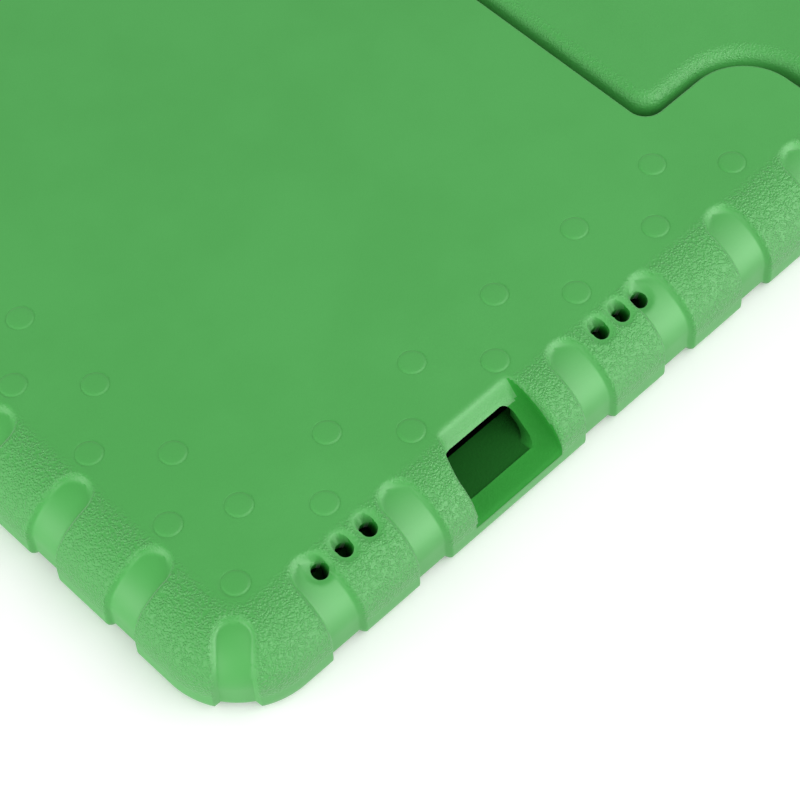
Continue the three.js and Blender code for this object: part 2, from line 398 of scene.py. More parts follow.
# %% Port recess rows and columns
RECESS_X = (92.0, 119.4)
WALL_COLUMNS = 14
ARRIS_ROUND = 2.2
INNER_ROUND = 3.6
RECESS_START = (22.3, THICK)
WALL_HEAD = (20.0, THICK)
WALL_FOOT = (17.0, 19.8)
SEAM = (5.9, 10.45)
LIP_EDGE = (0.1, 8.2)
LIP_FOOT = (0.0, 6.4)
LEFT_DRAFT = 3.4
DRAFT_INSET = 19.5
DRAFT_ACROSS = 14.0
DRAFT_FADE = 11.0
recess_floor = rounded_path(
    [RECESS_START, WALL_HEAD, WALL_FOOT, SEAM, LIP_EDGE, LIP_FOOT],
    [0.0, 1.6, 1.6, 0.3, 1.3, 0.0], 7,
)


def wall_path(height):
    """Shape of a recess side wall of one height: (sideways, drop) from arris to floor."""
    share = min(1.0, height / (ARRIS_ROUND + INNER_ROUND))
    turn = np.linspace(0.0, math.pi / 2, WALL_COLUMNS // 2)
    top = np.stack([
        -ARRIS_ROUND * (1 - np.sin(turn)), ARRIS_ROUND * share * (1 - np.cos(turn)),
    ], axis=1)
    low = np.stack([
        INNER_ROUND * (1 - np.cos(turn)), height - INNER_ROUND * share * (1 - np.sin(turn)),
    ], axis=1)
    return np.concatenate([top, low])


def left_draft(x, inset):
    """How far the left side of the recess leans out towards the rim's outer edge."""
    reach = smooth((DRAFT_INSET - inset) / DRAFT_ACROSS) * LEFT_DRAFT
    middle = (RECESS_X[0] + RECESS_X[1]) / 2
    before = np.clip(1.0 - (RECESS_X[0] - ARRIS_ROUND - x) / DRAFT_FADE, 0.0, 1.0)
    after = np.clip((middle - x) / (middle - RECESS_X[0] - INNER_ROUND), 0.0, 1.0)
    return -reach * np.where(x < RECESS_X[0], before, after)


def recess_rows(profile):
    """For each profile row: the place on the recess floor that it goes down to."""
    last = int(np.argmin(np.abs(profile[:, 0]) + np.abs(profile[:, 1] - WALL_ROW_Z)))
    target = profile.copy()
    target[:last + 1] = resample(joined_path(recess_floor, [profile[last]]), last)
    return target


# %% [markdown]
# ## Laying out the columns
# The outline starts on the port edge and runs counter-clockwise. Each column keeps its
# foot on the outline and the direction inwards, so that corners turn about their centres.
# A column also keeps a code: 0 on the plain rim, 1 and 3 on the recess's left and right
# side walls, and 2 between them.

# %% Outline columns of the shell
GROOVE_STEPS = (0.0, 1.0, 2.0, 3.0, 3.8, 4.3, 4.7, 5.0, 5.3, 5.6, 5.9, 6.2, 6.5, 7.2)
ACROSS_GROOVE = [way * step for step in GROOVE_STEPS for way in (-1, 1)]
ACROSS_HOLE = np.arange(-4.6, 4.7, 0.6)
FINE_GAP = 2.0
WIDE_GAP = 12.0
MARK_CLEAR = 0.3
EAR_CLEAR = 2.0
GROOVED_CORNER_STEPS = 56
PLAIN_CORNER_STEPS = 12


def marks_at(centres, offsets):
    """Every offset laid at every centre, as one list of places."""
    return [centre + offset for centre in centres for offset in offsets]


def run_columns(low, high, marks):
    """Columns of one straight edge, with none beside the cut between shell and handle."""
    spots = even(low, high, marks, FINE_GAP)
    return np.array([s for s in spots if abs(s - EAR_END) > EAR_CLEAR or s in (low, high)])


def shell_columns():
    """Foot, inward direction and recess code of every column of the shell's outer form."""
    columns = []

    def straight(spots, place, way):
        columns.extend((place(s), way, (0, 0)) for s in spots)

    def corner(centre, start, steps):
        for angle in np.radians(np.linspace(start, start + 90, steps + 1))[1:-1]:
            way = np.array([math.cos(angle), math.sin(angle)])
            columns.append((np.asarray(centre) + CORNER * way, -way, (0, 0)))

    def port_edge(x):
        return (x, 0.0)

    wall = np.linspace(-ARRIS_ROUND, INNER_ROUND, WALL_COLUMNS)
    left = RECESS_X[0] + wall
    right = RECESS_X[1] - wall[::-1]
    recess = [(x, (1, i)) for i, x in enumerate(left)]
    recess += [(x, (2, 0)) for x in even(left[-1], right[0], [], FINE_GAP)[1:-1]]
    recess += [(x, (3, WALL_COLUMNS - 1 - i)) for i, x in enumerate(right)]
    hole_marks = marks_at(hole_places, ACROSS_HOLE)
    marks = marks_at(port_grooves, ACROSS_GROOVE) + hole_marks
    before = [m for m in marks if m < left[0] - MARK_CLEAR]
    after = [m for m in marks if m > right[-1] + MARK_CLEAR]
    far_x, far_y = CASE_X - CORNER, CASE_Y - CORNER
    straight(run_columns(CORNER, left[0], before)[:-1], port_edge, (0.0, 1.0))
    columns.extend((port_edge(x), (0.0, 1.0), code) for x, code in recess)
    straight(run_columns(right[-1], far_x, after)[1:], port_edge, (0.0, 1.0))
    corner((far_x, CORNER), -90, PLAIN_CORNER_STEPS)
    straight(even(CORNER, far_y, [], WIDE_GAP), lambda s: (CASE_X, s), (-1.0, 0.0))
    corner((far_x, far_y), 0, PLAIN_CORNER_STEPS)
    far_marks = marks_at(far_grooves, ACROSS_GROOVE) + hole_marks
    straight(run_columns(CORNER, far_x, far_marks)[::-1], lambda s: (s, CASE_Y), (0.0, -1.0))
    corner((CORNER, far_y), 90, GROOVED_CORNER_STEPS)
    side = even(CORNER, far_y, marks_at(side_grooves, ACROSS_GROOVE), FINE_GAP)[::-1]
    straight(side, lambda s: (0.0, s), (1.0, 0.0))
    corner((CORNER, CORNER), 180, GROOVED_CORNER_STEPS)
    feet, inner, codes = zip(*columns)
    return np.array(feet), np.array(inner), codes


def shell_form():
    """The outer form with grooves, dips and the port recess pressed in."""
    feet, inner, codes = shell_columns()
    target = recess_rows(outer_profile)
    rows = len(outer_profile)
    inset = np.repeat(outer_profile[:, :1], len(feet), axis=1)
    height = np.repeat(outer_profile[:, 1:], len(feet), axis=1)
    slide = np.zeros_like(inset)
    drop = np.linalg.norm(target - outer_profile, axis=1)
    side_walls = {1: (RECESS_X[0], 1), 3: (RECESS_X[1], -1)}
    for column, (kind, index) in enumerate(codes):
        for row in range(rows if kind else 0):
            share = 1.0
            if kind in side_walls:
                wall_x, way = side_walls[kind]
                sideways, down = wall_path(drop[row])[index]
                share = down / drop[row] if drop[row] > 1e-4 else 0.0
                slide[row, column] = wall_x + way * sideways - feet[column, 0]
            spot = outer_profile[row] + (target[row] - outer_profile[row]) * share
            inset[row, column], height[row, column] = spot
    on_port_edge = np.array([foot[1] == 0.0 for foot in feet])[None]
    lean = left_draft(np.repeat(feet[None, :, 0], rows, axis=0), outer_profile[:, :1])
    slide += lean * on_port_edge
    plan = feet[None] + inner[None] * inset[..., None]
    plan[..., 0] += slide
    outside = profile_out(outer_profile)
    plain = np.array([kind == 0 for kind, index in codes])[None]
    press = groove_press(plan[..., 0], plan[..., 1]) * GROOVE_DEPTH * plain
    dip = hole_dip(plan[..., 0], plan[..., 1]) * plain
    inset = inset - outside[:, :1] * press
    height = height - outside[:, 1:] * press - dip * DIP_DEPTH
    plan = feet[None] + inner[None] * inset[..., None]
    plan[..., 0] += slide
    return grid_solid("foam_shell", np.concatenate([plan, height[..., None]], axis=2))


shell = shell_form()
print("outer form:", len(shell.data.polygons), "faces")

# %% [markdown]
# ## Parting the shell from the handle
# The shell and the handle fill one outer form, and a narrow trench parts them. A prism of
# the shell's plan is laid over the form and what they share is kept. The prism flares in
# at its top and bottom, so the trench comes out with a rounded edge.

# %% Plans of the shell and the handle
EAR_CORNER = 18.0
EAR_SIDE = 53.0
WAIST_EDGE = 209.0
ROOT_ROUND = 6.0
ear_centre = (EAR_END - EAR_CORNER, EAR_SIDE - EAR_CORNER)
root_centre = (WAIST_EDGE + ROOT_ROUND, EAR_SIDE + ROOT_ROUND)
GAP = 2.5
END_GAP = 3.5


def mirrored(points):
    """The same points at the far end, in the order that keeps the outline's turn."""
    points = np.asarray(points, float)[::-1].copy()
    points[:, 1] = CASE_Y - points[:, 1]
    return points


shell_near = joined_path(
    [(-BEYOND, -BEYOND), (EAR_END, -BEYOND)],
    arc(ear_centre, EAR_CORNER, 0, 90, 18),
    arc(root_centre, ROOT_ROUND, 270, 180, 8),
)
shell_plan = joined_path(shell_near, mirrored(shell_near))

HANDLE_EDGE = WAIST_EDGE + GAP
HANDLE_SIDE = EAR_SIDE + GAP
FLARE_EDGE = EAR_END + END_GAP
WAIST_ROUND = ROOT_ROUND + GAP
FLARE_ROUND = EAR_CORNER + GAP
handle_near = joined_path(
    [(CASE_X + 2 * BEYOND, -2 * BEYOND)],
    [(FLARE_EDGE, -2 * BEYOND)],
    arc((FLARE_EDGE - FLARE_ROUND, HANDLE_SIDE - FLARE_ROUND), FLARE_ROUND, 0, 90, 18),
    arc((HANDLE_EDGE + WAIST_ROUND, HANDLE_SIDE + WAIST_ROUND), WAIST_ROUND, 270, 180, 10),
)
handle_plan = joined_path(handle_near, mirrored(handle_near))[::-1]
print("plans:", len(shell_plan), len(handle_plan), "corners")

# %% Cutters


def cut_profile(low, high, low_round, high_round, steps=5):
    """Profile of a prism whose lower and upper edges turn in by a radius."""
    return joined_path(
        [(low_round, low - BEYOND)],
        arc((low_round, low + low_round), low_round, 270, 180, steps),
        arc((high_round, high - high_round), high_round, 180, 90, steps),
        [(high_round, high + BEYOND)],
    )


def tube(start, end, radius, sides=28, end_radius=None):
    """A closed round or tapered bar between two places, as a cutter."""
    start, end = Vector(metres(start)), Vector(metres(end))
    axis = end - start
    bm = bmesh.new()
    bmesh.ops.create_cone(
        bm, cap_ends=True, segments=sides, radius1=radius * TO_METRES,
        radius2=(end_radius or radius) * TO_METRES, depth=axis.length,
    )
    turn = axis.to_track_quat("Z", "Y").to_matrix().to_4x4()
    bmesh.ops.transform(bm, matrix=Matrix.Translation((start + end) / 2) @ turn, verts=bm.verts)
    return new_piece("bar", bm)


def one_object(pieces):
    """Several loose cutters as one, so that one boolean takes them all."""
    bm = bmesh.new()
    for piece in pieces:
        bm.from_mesh(piece.data)
        bpy.data.objects.remove(piece)
    return new_piece("cutters", bm)


PIN_ROOM = 5.3
PIN_HALF = 17.3
BORE_LEAN = math.tan(math.radians(15.0))
MOUTH_Z = (18.6, 25.6)
MOUTH_SHIFT = (0.2, 2.2)
MOUTH_RADIUS = (1.7, 2.95)


def pin_bores():
    bores = []
    for middle in (EAR_SIDE + GAP / 2, CASE_Y - EAR_SIDE - GAP / 2):
        low = (HINGE_X, middle - PIN_HALF, HINGE_Z)
        bores.append(tube(low, (HINGE_X, middle + PIN_HALF, HINGE_Z), PIN_ROOM, 24))
    return bores


def speaker_bores():
    bores = []
    for x, edge, way in speaker_holes():
        top = (x, edge - way * BORE_LEAN * BEYOND, THICK + BEYOND)
        low = (x, edge + way * BORE_LEAN * (THICK - LEDGE_Z), LEDGE_Z)
        bores.append(tube(top, low, HOLE_RADIUS))
    return bores


def speaker_mouths():
    """Cones that lean towards the panel, so that each hole opens like a teardrop."""
    cones = []
    for x, edge, way in speaker_holes():
        low, top = ((x, edge + way * shift, z) for shift, z in zip(MOUTH_SHIFT, MOUTH_Z))
        cones.append(tube(low, top, MOUTH_RADIUS[0], 36, MOUTH_RADIUS[1]))
    return cones


# %% [markdown]
# ## The room for the tablet
# From the front the case is a picture frame: a rounded front edge, a lip that flares
# towards the screen, a ledge behind the lip and the tablet's room up to the back panel.
# One profile carried round the room's outline cuts all of it. The port window goes through
# the recess's slope into that room, with a thin frame left beside it.

# %% Cut the shell
LIP_REACH = 4.4
FRAME_ROUND = 1.5
LIP_BACK = 8.6
room_profile = joined_path(
    [(-0.5 - FRAME_ROUND, -BEYOND)],
    arc((-0.5 - FRAME_ROUND, FRAME_ROUND), FRAME_ROUND, -90, 0, 5),
    rounded_path(
        [(-0.5, 1.6), (-0.5, 2.6), (LIP_REACH, LIP_BACK), (LIP_REACH, LEDGE_Z), (0.0, LEDGE_Z),
         (0.0, CEILING_Z), (4.0, CEILING_Z)],
        [0.0, 0.8, 1.2, 0.7, 0.4, 1.2, 0.0], 4,
    ),
)
room = sweep("room", rectangle(ROOM_LOW, ROOM_HIGH, ROOM_CORNER), room_profile)

WINDOW_X = (88.4, 115.6)
WINDOW_Z = (10.1, 19.8)
WINDOW_ROUND = 2.9
WINDOW_BACK = 21.0
window_outline = rectangle(*zip(WINDOW_X, WINDOW_Z), WINDOW_ROUND, 8)
window = grid_solid("port_window", np.array([
    [(x, y, z) for x, z in window_outline] for y in (SEAM[0], WINDOW_BACK)
]))
FRAME_DEPTH = 3.8
FRAME_TOP_Z = 15.6
FRAME_SPAN = (-4.0, 5.0)
frame_section = [(SEAM[0] + FRAME_DEPTH, WINDOW_Z[0]), (WALL_FOOT[0], WINDOW_Z[0]),
                 (WALL_FOOT[0], FRAME_TOP_Z)]
behind_frame = grid_solid("behind_frame", np.array([
    [(WINDOW_X[1] + past, y, z) for y, z in frame_section] for past in FRAME_SPAN
]))

CAMERA_PLACE = (31.0, 249.0)
CAMERA_RADIUS = 9.0
camera_hole = sweep(
    "camera_hole", arc(CAMERA_PLACE, CAMERA_RADIUS, 0, 360, 48)[:-1],
    rounded_path(
        [(0.0, 16.0), (0.0, 22.5), (-2.5, 24.9), (-3.6, THICK + 0.002), (-3.6, THICK + BEYOND)],
        [0.0, 1.0, 0.7, 0.0, 0.0], 5,
    ),
)
FRONT_TURN_IN = 1.5
BACK_TURN_IN = 0.9
shell_prism = sweep("shell_prism", shell_plan, cut_profile(0.0, THICK, FRONT_TURN_IN, BACK_TURN_IN))
combine(shell, [shell_prism], "INTERSECT")
combine(shell, [room, window, behind_frame, camera_hole], "DIFFERENCE")
combine(shell, [one_object(speaker_bores() + pin_bores())], "DIFFERENCE")
combine(shell, [one_object(speaker_mouths())], "DIFFERENCE")

# %% [markdown]
# ## Embossed dots
# Two staggered rows of small round dots run along the edges of the panel. Each is a disc
# that stands a fifth of a millimetre proud inside an equally faint moat. The flat panel is
# opened, filled again round the dots' rims, and each dot is grown inwards, ring by ring.
# A row says where its first dot lies, how many steps in x and y one dot is from the next,
# and how many dots it has.

# %% Places and rings of the dots
DOT_RADIUS = 4.35
DOT_RINGS = ((4.12, -0.18), (3.9, -0.18), (3.6, 0.05), (3.2, 0.14), (2.4, 0.19), (1.2, 0.20))
DOT_SIDES = 44
DOT_ROWS = (
    ((41.4, 41.4), (1, 0), 6),
    ((57.4, 25.8), (1, 0), 6),
    ((24.9, 24.7), (1, 0), 1),
    ((40.1, 65.9), (0, 1), 3),
    ((24.5, 50.2), (0, 1), 3),
)
CAMERA_CLEAR = 19.0
FLAT_MARGIN = 1e-7


def dot_places():
    """Middles of all dots: the rows seen at the port corner, and their mirror image."""
    near = [(x + GROOVE_PITCH * k * along, y + GROOVE_PITCH * k * up)
            for (x, y), (along, up), count in DOT_ROWS for k in range(count)]
    far = [(x, CASE_Y - y) for x, y in near]
    middle = (DOT_ROWS[-1][0][0], CASE_Y / 2)
    return [dot for dot in near + far + [middle] if math.dist(dot, CAMERA_PLACE) > CAMERA_CLEAR]


def dot_ring(bm, place, radius):
    circle = arc(place, radius, 0, 360, DOT_SIDES)[:-1]
    spots = metres(np.column_stack([circle, np.full(DOT_SIDES, THICK)]))
    verts = [bm.verts.new(spot) for spot in spots]
    return [bm.edges.new((verts[i - 1], verts[i])) for i in range(DOT_SIDES)]


def clear_faces(bm, faces):
    """Deletes faces and the edges that they leave loose, but no points."""
    bmesh.ops.delete(bm, geom=faces, context="FACES_ONLY")
    bmesh.ops.delete(bm, geom=[e for e in bm.edges if not e.link_faces], context="EDGES")


def emboss(piece):
    """Opens the flat panel, fills it again round the dots and grows each dot inwards."""
    bm = bmesh.new()
    bm.from_mesh(piece.data)
    top = THICK * TO_METRES - FLAT_MARGIN
    flat = [f for f in bm.faces if all(v.co.z > top for v in f.verts) and f.normal.z > 0.99]
    clear_faces(bm, flat)
    rims = [e for e in bm.edges if len(e.link_faces) == 1]
    dots = [dot_ring(bm, place, DOT_RADIUS) for place in dot_places()]
    fresh = rims + [edge for dot in dots for edge in dot]
    bmesh.ops.triangle_fill(bm, use_beauty=True, use_dissolve=False, edges=fresh,
                            normal=(0.0, 0.0, 1.0))
    clear_faces(bm, [f for f in bm.faces if len(f.verts) == 3 and inside_a_dot(f)])
    for place, dot in zip(dot_places(), dots):
        grow_dot(bm, place, dot)
    bmesh.ops.recalc_face_normals(bm, faces=bm.faces)
    open_edges = [e for e in bm.edges if len(e.link_faces) != 2]
    bm.to_mesh(piece.data)
    bm.free()
    print(piece.name, "dots:", len(dots), "open edges:", len(open_edges))


def plan_place(spot):
    """A place in the frame's metres as millimetres on the case's plan."""
    return (spot.x / TO_METRES + FRAME_MIDDLE[0], spot.y / TO_METRES + FRAME_MIDDLE[1],
            spot.z / TO_METRES)


def inside_a_dot(face):
    """True for a face of the filled panel that lies within a dot's rim."""
    x, y, z = plan_place(face.calc_center_median())
    if z < THICK - 1e-3:
        return False
    return any(math.hypot(x - a, y - b) < DOT_RADIUS - 1e-3 for a, b in dot_places())


def grow_dot(bm, place, edges):
    for radius, rise in DOT_RINGS:
        grown = bmesh.ops.extrude_edge_only(bm, edges=edges)["geom"]
        verts = [g for g in grown if isinstance(g, bmesh.types.BMVert)]
        edges = [g for g in grown if isinstance(g, bmesh.types.BMEdge)]
        middle = Vector(metres((place[0], place[1], THICK + rise)))
        for vert in verts:
            way = (vert.co - middle).xy.normalized() * radius * TO_METRES
            vert.co = middle + Vector((way.x, way.y, 0.0))
        ring = set(verts)
        edges = [e for e in edges if e.verts[0] in ring and e.verts[1] in ring]
    bmesh.ops.edgeloop_fill(bm, edges=edges)


emboss(shell)

# %% [markdown]
# ## Softening cut edges
# Where the prism meets the sloping shoulder the boolean leaves a knife edge. A small
# bevel on just those edges gives them the roundness of moulded foam.

# %% Bevel the cut edges
SHARP_CUT = math.radians(32)
RIM_BAND = 22.0
FLAT_TOP = 24.9


def soften(piece, pick, width, segments=3):
    """Bevels the sharp edges that a test on their middle, in millimetres, picks."""
    bm = bmesh.new()
    bm.from_mesh(piece.data)
    chosen = []
    for edge in bm.edges:
        if len(edge.link_faces) != 2 or edge.calc_face_angle() < SHARP_CUT:
            continue
        if pick(*plan_place((edge.verts[0].co + edge.verts[1].co) / 2)):
            chosen.append(edge)
    bmesh.ops.bevel(
        bm, geom=chosen, offset=width * TO_METRES, offset_type="OFFSET", segments=segments,
        profile=0.5, affect="EDGES", clamp_overlap=True, material=-1,
    )
    bm.to_mesh(piece.data)
    bm.free()
    print(piece.name, "softened", len(chosen), "edges by", width, "mm")


def on_rim(y, z, low):
    """True within the rolled rim of the two short edges, away from its flat faces."""
    return min(y, CASE_Y - y) < RIM_BAND and low < z < FLAT_TOP


def at_ear_end(x, y, z):
    return abs(x - EAR_END) < 0.4 and on_rim(y, z, 0.5)


soften(shell, at_ear_end, 0.9)

# %% [markdown]
# ## The handle
# The handle is the rest of the outer form: a waist between the ears, two arms past their
# ends and a slot for the hand. Its own prism turns in by six millimetres, so the edges
# beside the trench and under the fingers are fat and round.

# %% Handle
HANDLE_ROUND = 6.0
FLOOR_GAP = 0.5
handle_profile = joined_path(
    resample(shoulder_line, 22),
    [(0.0, WALL_ROW_Z)],
    arc((FRONT_ROUND, FRONT_ROUND), FRONT_ROUND, 180, 270, 6),
    [(FRONT_FLAT, 0.0)],
)
handle = sweep("foam_handle", rectangle((0, 0), (CASE_X, CASE_Y), CORNER, 28, 40.0), handle_profile)
handle_low = joined_path(
    [(HANDLE_ROUND, FLOOR_GAP)],
    arc((HANDLE_ROUND, FLOOR_GAP + HANDLE_ROUND), HANDLE_ROUND, 270, 180, 8),
    arc((HANDLE_ROUND, THICK - HANDLE_ROUND), HANDLE_ROUND, 180, 90, 8),
    [(HANDLE_ROUND, THICK + BEYOND)],
)
handle_prism = sweep("handle_prism", handle_plan, handle_low)
SLOT_LOW = (241.0, 87.0)
SLOT_HIGH = (271.0, 193.0)
SLOT_CORNER = 14.8
SLOT_ROUND = 4.0
slot_profile = joined_path(
    [(-SLOT_ROUND, -BEYOND)],
    arc((-SLOT_ROUND, FLOOR_GAP + SLOT_ROUND), SLOT_ROUND, -90, 0, 7),
    arc((-SLOT_ROUND, THICK - SLOT_ROUND), SLOT_ROUND, 0, 90, 7),
    [(-SLOT_ROUND, THICK + BEYOND)],
)
slot_cut = sweep("slot", rectangle(SLOT_LOW, SLOT_HIGH, SLOT_CORNER, 14), slot_profile)
combine(handle, [handle_prism], "INTERSECT")
combine(handle, [slot_cut, one_object(pin_bores())], "DIFFERENCE")


def at_arm_end(x, y, z):
    return abs(x - FLARE_EDGE) < 6.5 and on_rim(y, z, 1.0)


soften(handle, at_arm_end, 1.2)

# %% [markdown]
# ## Where the grain lies
# The back panel has a fine leather grain, the rolled shoulder a coarse pebble grain, and
# the grooves are smooth. In the port recess, behind the port window and down the speaker
# holes the foam gets painted shade: its colour is darkened where light would hardly reach.
# Each point carries three numbers for that, pebble, groove and painted shade, worked out
# from its place, and the materials read them.

# %% Grain masks
PEBBLE_INSET = 20.8
PEBBLE_FADE = 5.0
PEBBLE_FOOT = 6.5
FOOT_FADE = 3.0
GROOVE_INSET = 21.0
SMOOTH_FLOOR = GROOVE_FLOOR + 0.5
# Painted shade: how dark the recess walls, the room behind the port window and the hole walls are
# painted.
RECESS_SHADE = 0.26
BEHIND_SHADE = 0.68
HOLE_SHADE = 0.14
HOLE_CLEAR = 4.2
HOLE_SHADE_START = 2.7
WALL_TOUCH = 0.04


def edge_inset(x, y):
    """Distance in from the outline of the whole case."""
    half = np.array([CASE_X / 2, CASE_Y / 2])
    away_x = np.abs(x - half[0]) - (half[0] - CORNER)
    away_y = np.abs(y - half[1]) - (half[1] - CORNER)
    outside = np.hypot(np.maximum(away_x, 0), np.maximum(away_y, 0))
    return CORNER - outside - np.minimum(np.maximum(away_x, away_y), 0)


def plan_inset(x, y, outline):
    """Distance to a closed plan outline."""
    best = np.full(np.shape(x), 1e9)
    for start, end in zip(outline, np.roll(outline, -1, axis=0)):
        best = np.minimum(best, distance_to_line(x, y, start, end))
    return best


def paint(piece, **masks):
    """Keeps masks on a piece's points."""
    for name, values in masks.items():
        layer = piece.data.attributes.new(name, "FLOAT", "POINT")
        layer.data.foreach_set("value", np.clip(values, 0.0, 1.0).astype(np.float32))


def places_of(piece):
    """Plan places, in millimetres, of all points of a piece."""
    spots = np.empty(len(piece.data.vertices) * 3)
    piece.data.vertices.foreach_get("co", spots)
    spots = spots.reshape(-1, 3) / TO_METRES
    return spots[:, 0] + FRAME_MIDDLE[0], spots[:, 1] + FRAME_MIDDLE[1], spots[:, 2]


def rim_pebble(inset, z):
    """1 on the rolled rim, fading out towards the panel and towards the front."""
    return smooth((PEBBLE_INSET - inset) / PEBBLE_FADE) * smooth((z - PEBBLE_FOOT) / FOOT_FADE)


def shoulder_height(inset):
    """Height of the plain shoulder at a distance in from the edge."""
    return np.interp(inset, shoulder_line[::-1, 0], shoulder_line[::-1, 1])


def recess_masks(x, y, z, inset):
    """How far each place is sunk into the port recess, and the painted shade there."""
    left, right = RECESS_X[0] - LEFT_DRAFT, RECESS_X[1]
    floor = np.interp(y, [0.0, SEAM[0], WALL_FOOT[0], WALL_HEAD[0] - 0.3],
                      [LIP_EDGE[1], SEAM[1], WALL_FOOT[1], THICK])
    shoulder = shoulder_height(y)
    deep = (shoulder - z) / np.maximum(shoulder - floor, 0.5)
    inside = (x > left - 2.0) & (x < right + 0.5) & (y < WALL_HEAD[0] - 0.2) & (z > LIP_FOOT[1])
    sunk = np.where(inside, smooth(deep / 0.45), 0.0)
    behind = (z < CEILING_Z + 0.4) & (inset > SEAM[0] - 0.05) & (z > 0.5) & (z < floor - 0.2)
    # The steep upper wall of the recess, which light reaches, is left without painted shade.
    lit_upper_wall = smooth((y - 15.2) / 1.6) * smooth((right - 0.4 - x) / 1.2) * smooth((z - 18.2) / 1.6)
    return sunk, np.where(behind, BEHIND_SHADE, RECESS_SHADE * sunk * (1 - lit_upper_wall))


def hole_masks(x, y, z, pebble, shade):
    """Clears the pebble round each speaker hole and paints shade on its wall, darker with depth."""
    down = smooth((shoulder_height(np.minimum(y, CASE_Y - y)) - HOLE_SHADE_START - z) / 2.0)
    for place, edge, way in speaker_holes():
        rise = (z - MOUTH_Z[0]) / (MOUTH_Z[1] - MOUTH_Z[0])
        middle = edge + way * np.interp(rise, [0, 1], MOUTH_SHIFT)
        off_mouth = np.hypot(x - place, y - middle) - np.interp(rise, [0, 1], MOUTH_RADIUS)
        middle = edge + way * BORE_LEAN * (THICK - z)
        off_bore = np.hypot(x - place, y - middle) - HOLE_RADIUS
        on_wall = (z > LEDGE_Z) & (np.minimum(np.abs(off_mouth), np.abs(off_bore)) < WALL_TOUCH)
        near = np.hypot(x - place, y - edge) < HOLE_CLEAR
        # Painted shade down each hole, darker the deeper the wall lies.
        shade = np.where(on_wall, np.maximum(shade, HOLE_SHADE), shade)
        shade = np.where(near, np.maximum(shade, down), shade)
        pebble = pebble * smooth((np.minimum(off_mouth, off_bore) - 0.2) / 1.6)
    return pebble, shade


def mask_shell():
    x, y, z = places_of(shell)
    inset = edge_inset(x, y)
    groove = groove_press(x, y, SMOOTH_FLOOR, GROOVE_MOUTH) * smooth(GROOVE_INSET - inset)
    sunk, shade = recess_masks(x, y, z, inset)
    pebble = rim_pebble(inset, z) * (1 - groove) * (1 - 0.8 * sunk)
    pebble, shade = hole_masks(x, y, z, pebble, shade)
    paint(shell, pebble=pebble, groove=groove, shade=shade)


def mask_handle():
    """The rim's grain, and a fainter one round the handle's own rounded edge."""
    x, y, z = places_of(handle)
    own = plan_inset(x, y, handle_plan)
    round_edge = 0.6 * smooth((6.5 - own) / 2.0) * smooth((z - 21.5) / 2.0)
    pebble = np.maximum(rim_pebble(edge_inset(x, y), z), round_edge)
    paint(handle, pebble=pebble, groove=np.zeros_like(x), shade=np.zeros_like(x))


mask_shell()
mask_handle()

# %% [markdown]
# ## Shared grains
# Foam shows two grains from its mould: a fine leather on flat faces and a coarse pebble
# on the rolled rim. Each is a node group with its own sockets, so that the shell, the
# handle and the pins can use them at their own scale. A third group gives the faint
# clouds of tone that moulded plastics have.

# %% Node helpers


def new_group(name, inputs, outputs):
    """An empty shader group whose sockets are given by name, kind and value."""
    group = bpy.data.node_groups.new(name, "ShaderNodeTree")
    for socket, kind, value in inputs:
        made = group.interface.new_socket(socket, in_out="INPUT", socket_type=kind)
        if value is not None:
            made.default_value = value
    for socket, kind in outputs:
        group.interface.new_socket(socket, in_out="OUTPUT", socket_type=kind)
    return group, group.nodes.new("NodeGroupInput"), group.nodes.new("NodeGroupOutput")


def put(tree, kind, values=(), **settings):
    """A node with its settings, and values for its input sockets by name or number."""
    made = tree.nodes.new(kind)
    for name, value in settings.items():
        setattr(made, name, value)
    for socket, value in dict(values).items():
        if isinstance(value, bpy.types.NodeSocket):
            tree.links.new(value, made.inputs[socket])
        else:
            made.inputs[socket].default_value = value
    return made


def calc(tree, operation, *values):
    """One math node, given as numbers or sockets, and its result."""
    return put(tree, "ShaderNodeMath", enumerate(values), operation=operation).outputs[0]


def mix(tree, factor, first, second):
    """One colour between two, given as colours or sockets."""
    values = {"Factor": factor, 6: first, 7: second}
    return put(tree, "ShaderNodeMix", values, data_type="RGBA").outputs[2]


# %% Fine leather group
FLOAT = "NodeSocketFloat"
VECTOR = "NodeSocketVector"
COLOUR = "NodeSocketColor"
WHITE = (1.0, 1.0, 1.0, 1.0)


def fine_leather():
    """Small cells with a little fuzz, as on the panel."""
    group, enter, leave = new_group(
        "fine_leather", [("Vector", VECTOR, None), ("Scale", FLOAT, 1500.0)], [("Height", FLOAT)],
    )
    where, scale = enter.outputs["Vector"], enter.outputs["Scale"]
    cells = put(group, "ShaderNodeTexVoronoi", {"Vector": where, "Scale": scale,
                "Randomness": 1.0}, feature="F1")
    fuzz = put(group, "ShaderNodeTexNoise", {"Vector": where, "Detail": 2.0,
               "Scale": calc(group, "MULTIPLY", scale, 0.55)})
    blend = calc(group, "MULTIPLY_ADD", cells.outputs["Distance"], -0.6, fuzz.outputs["Fac"])
    group.links.new(blend, leave.inputs["Height"])
    return group


# %% Coarse pebble group
PEBBLE_WARP = (0.0011, 0.0011, 0.0011)


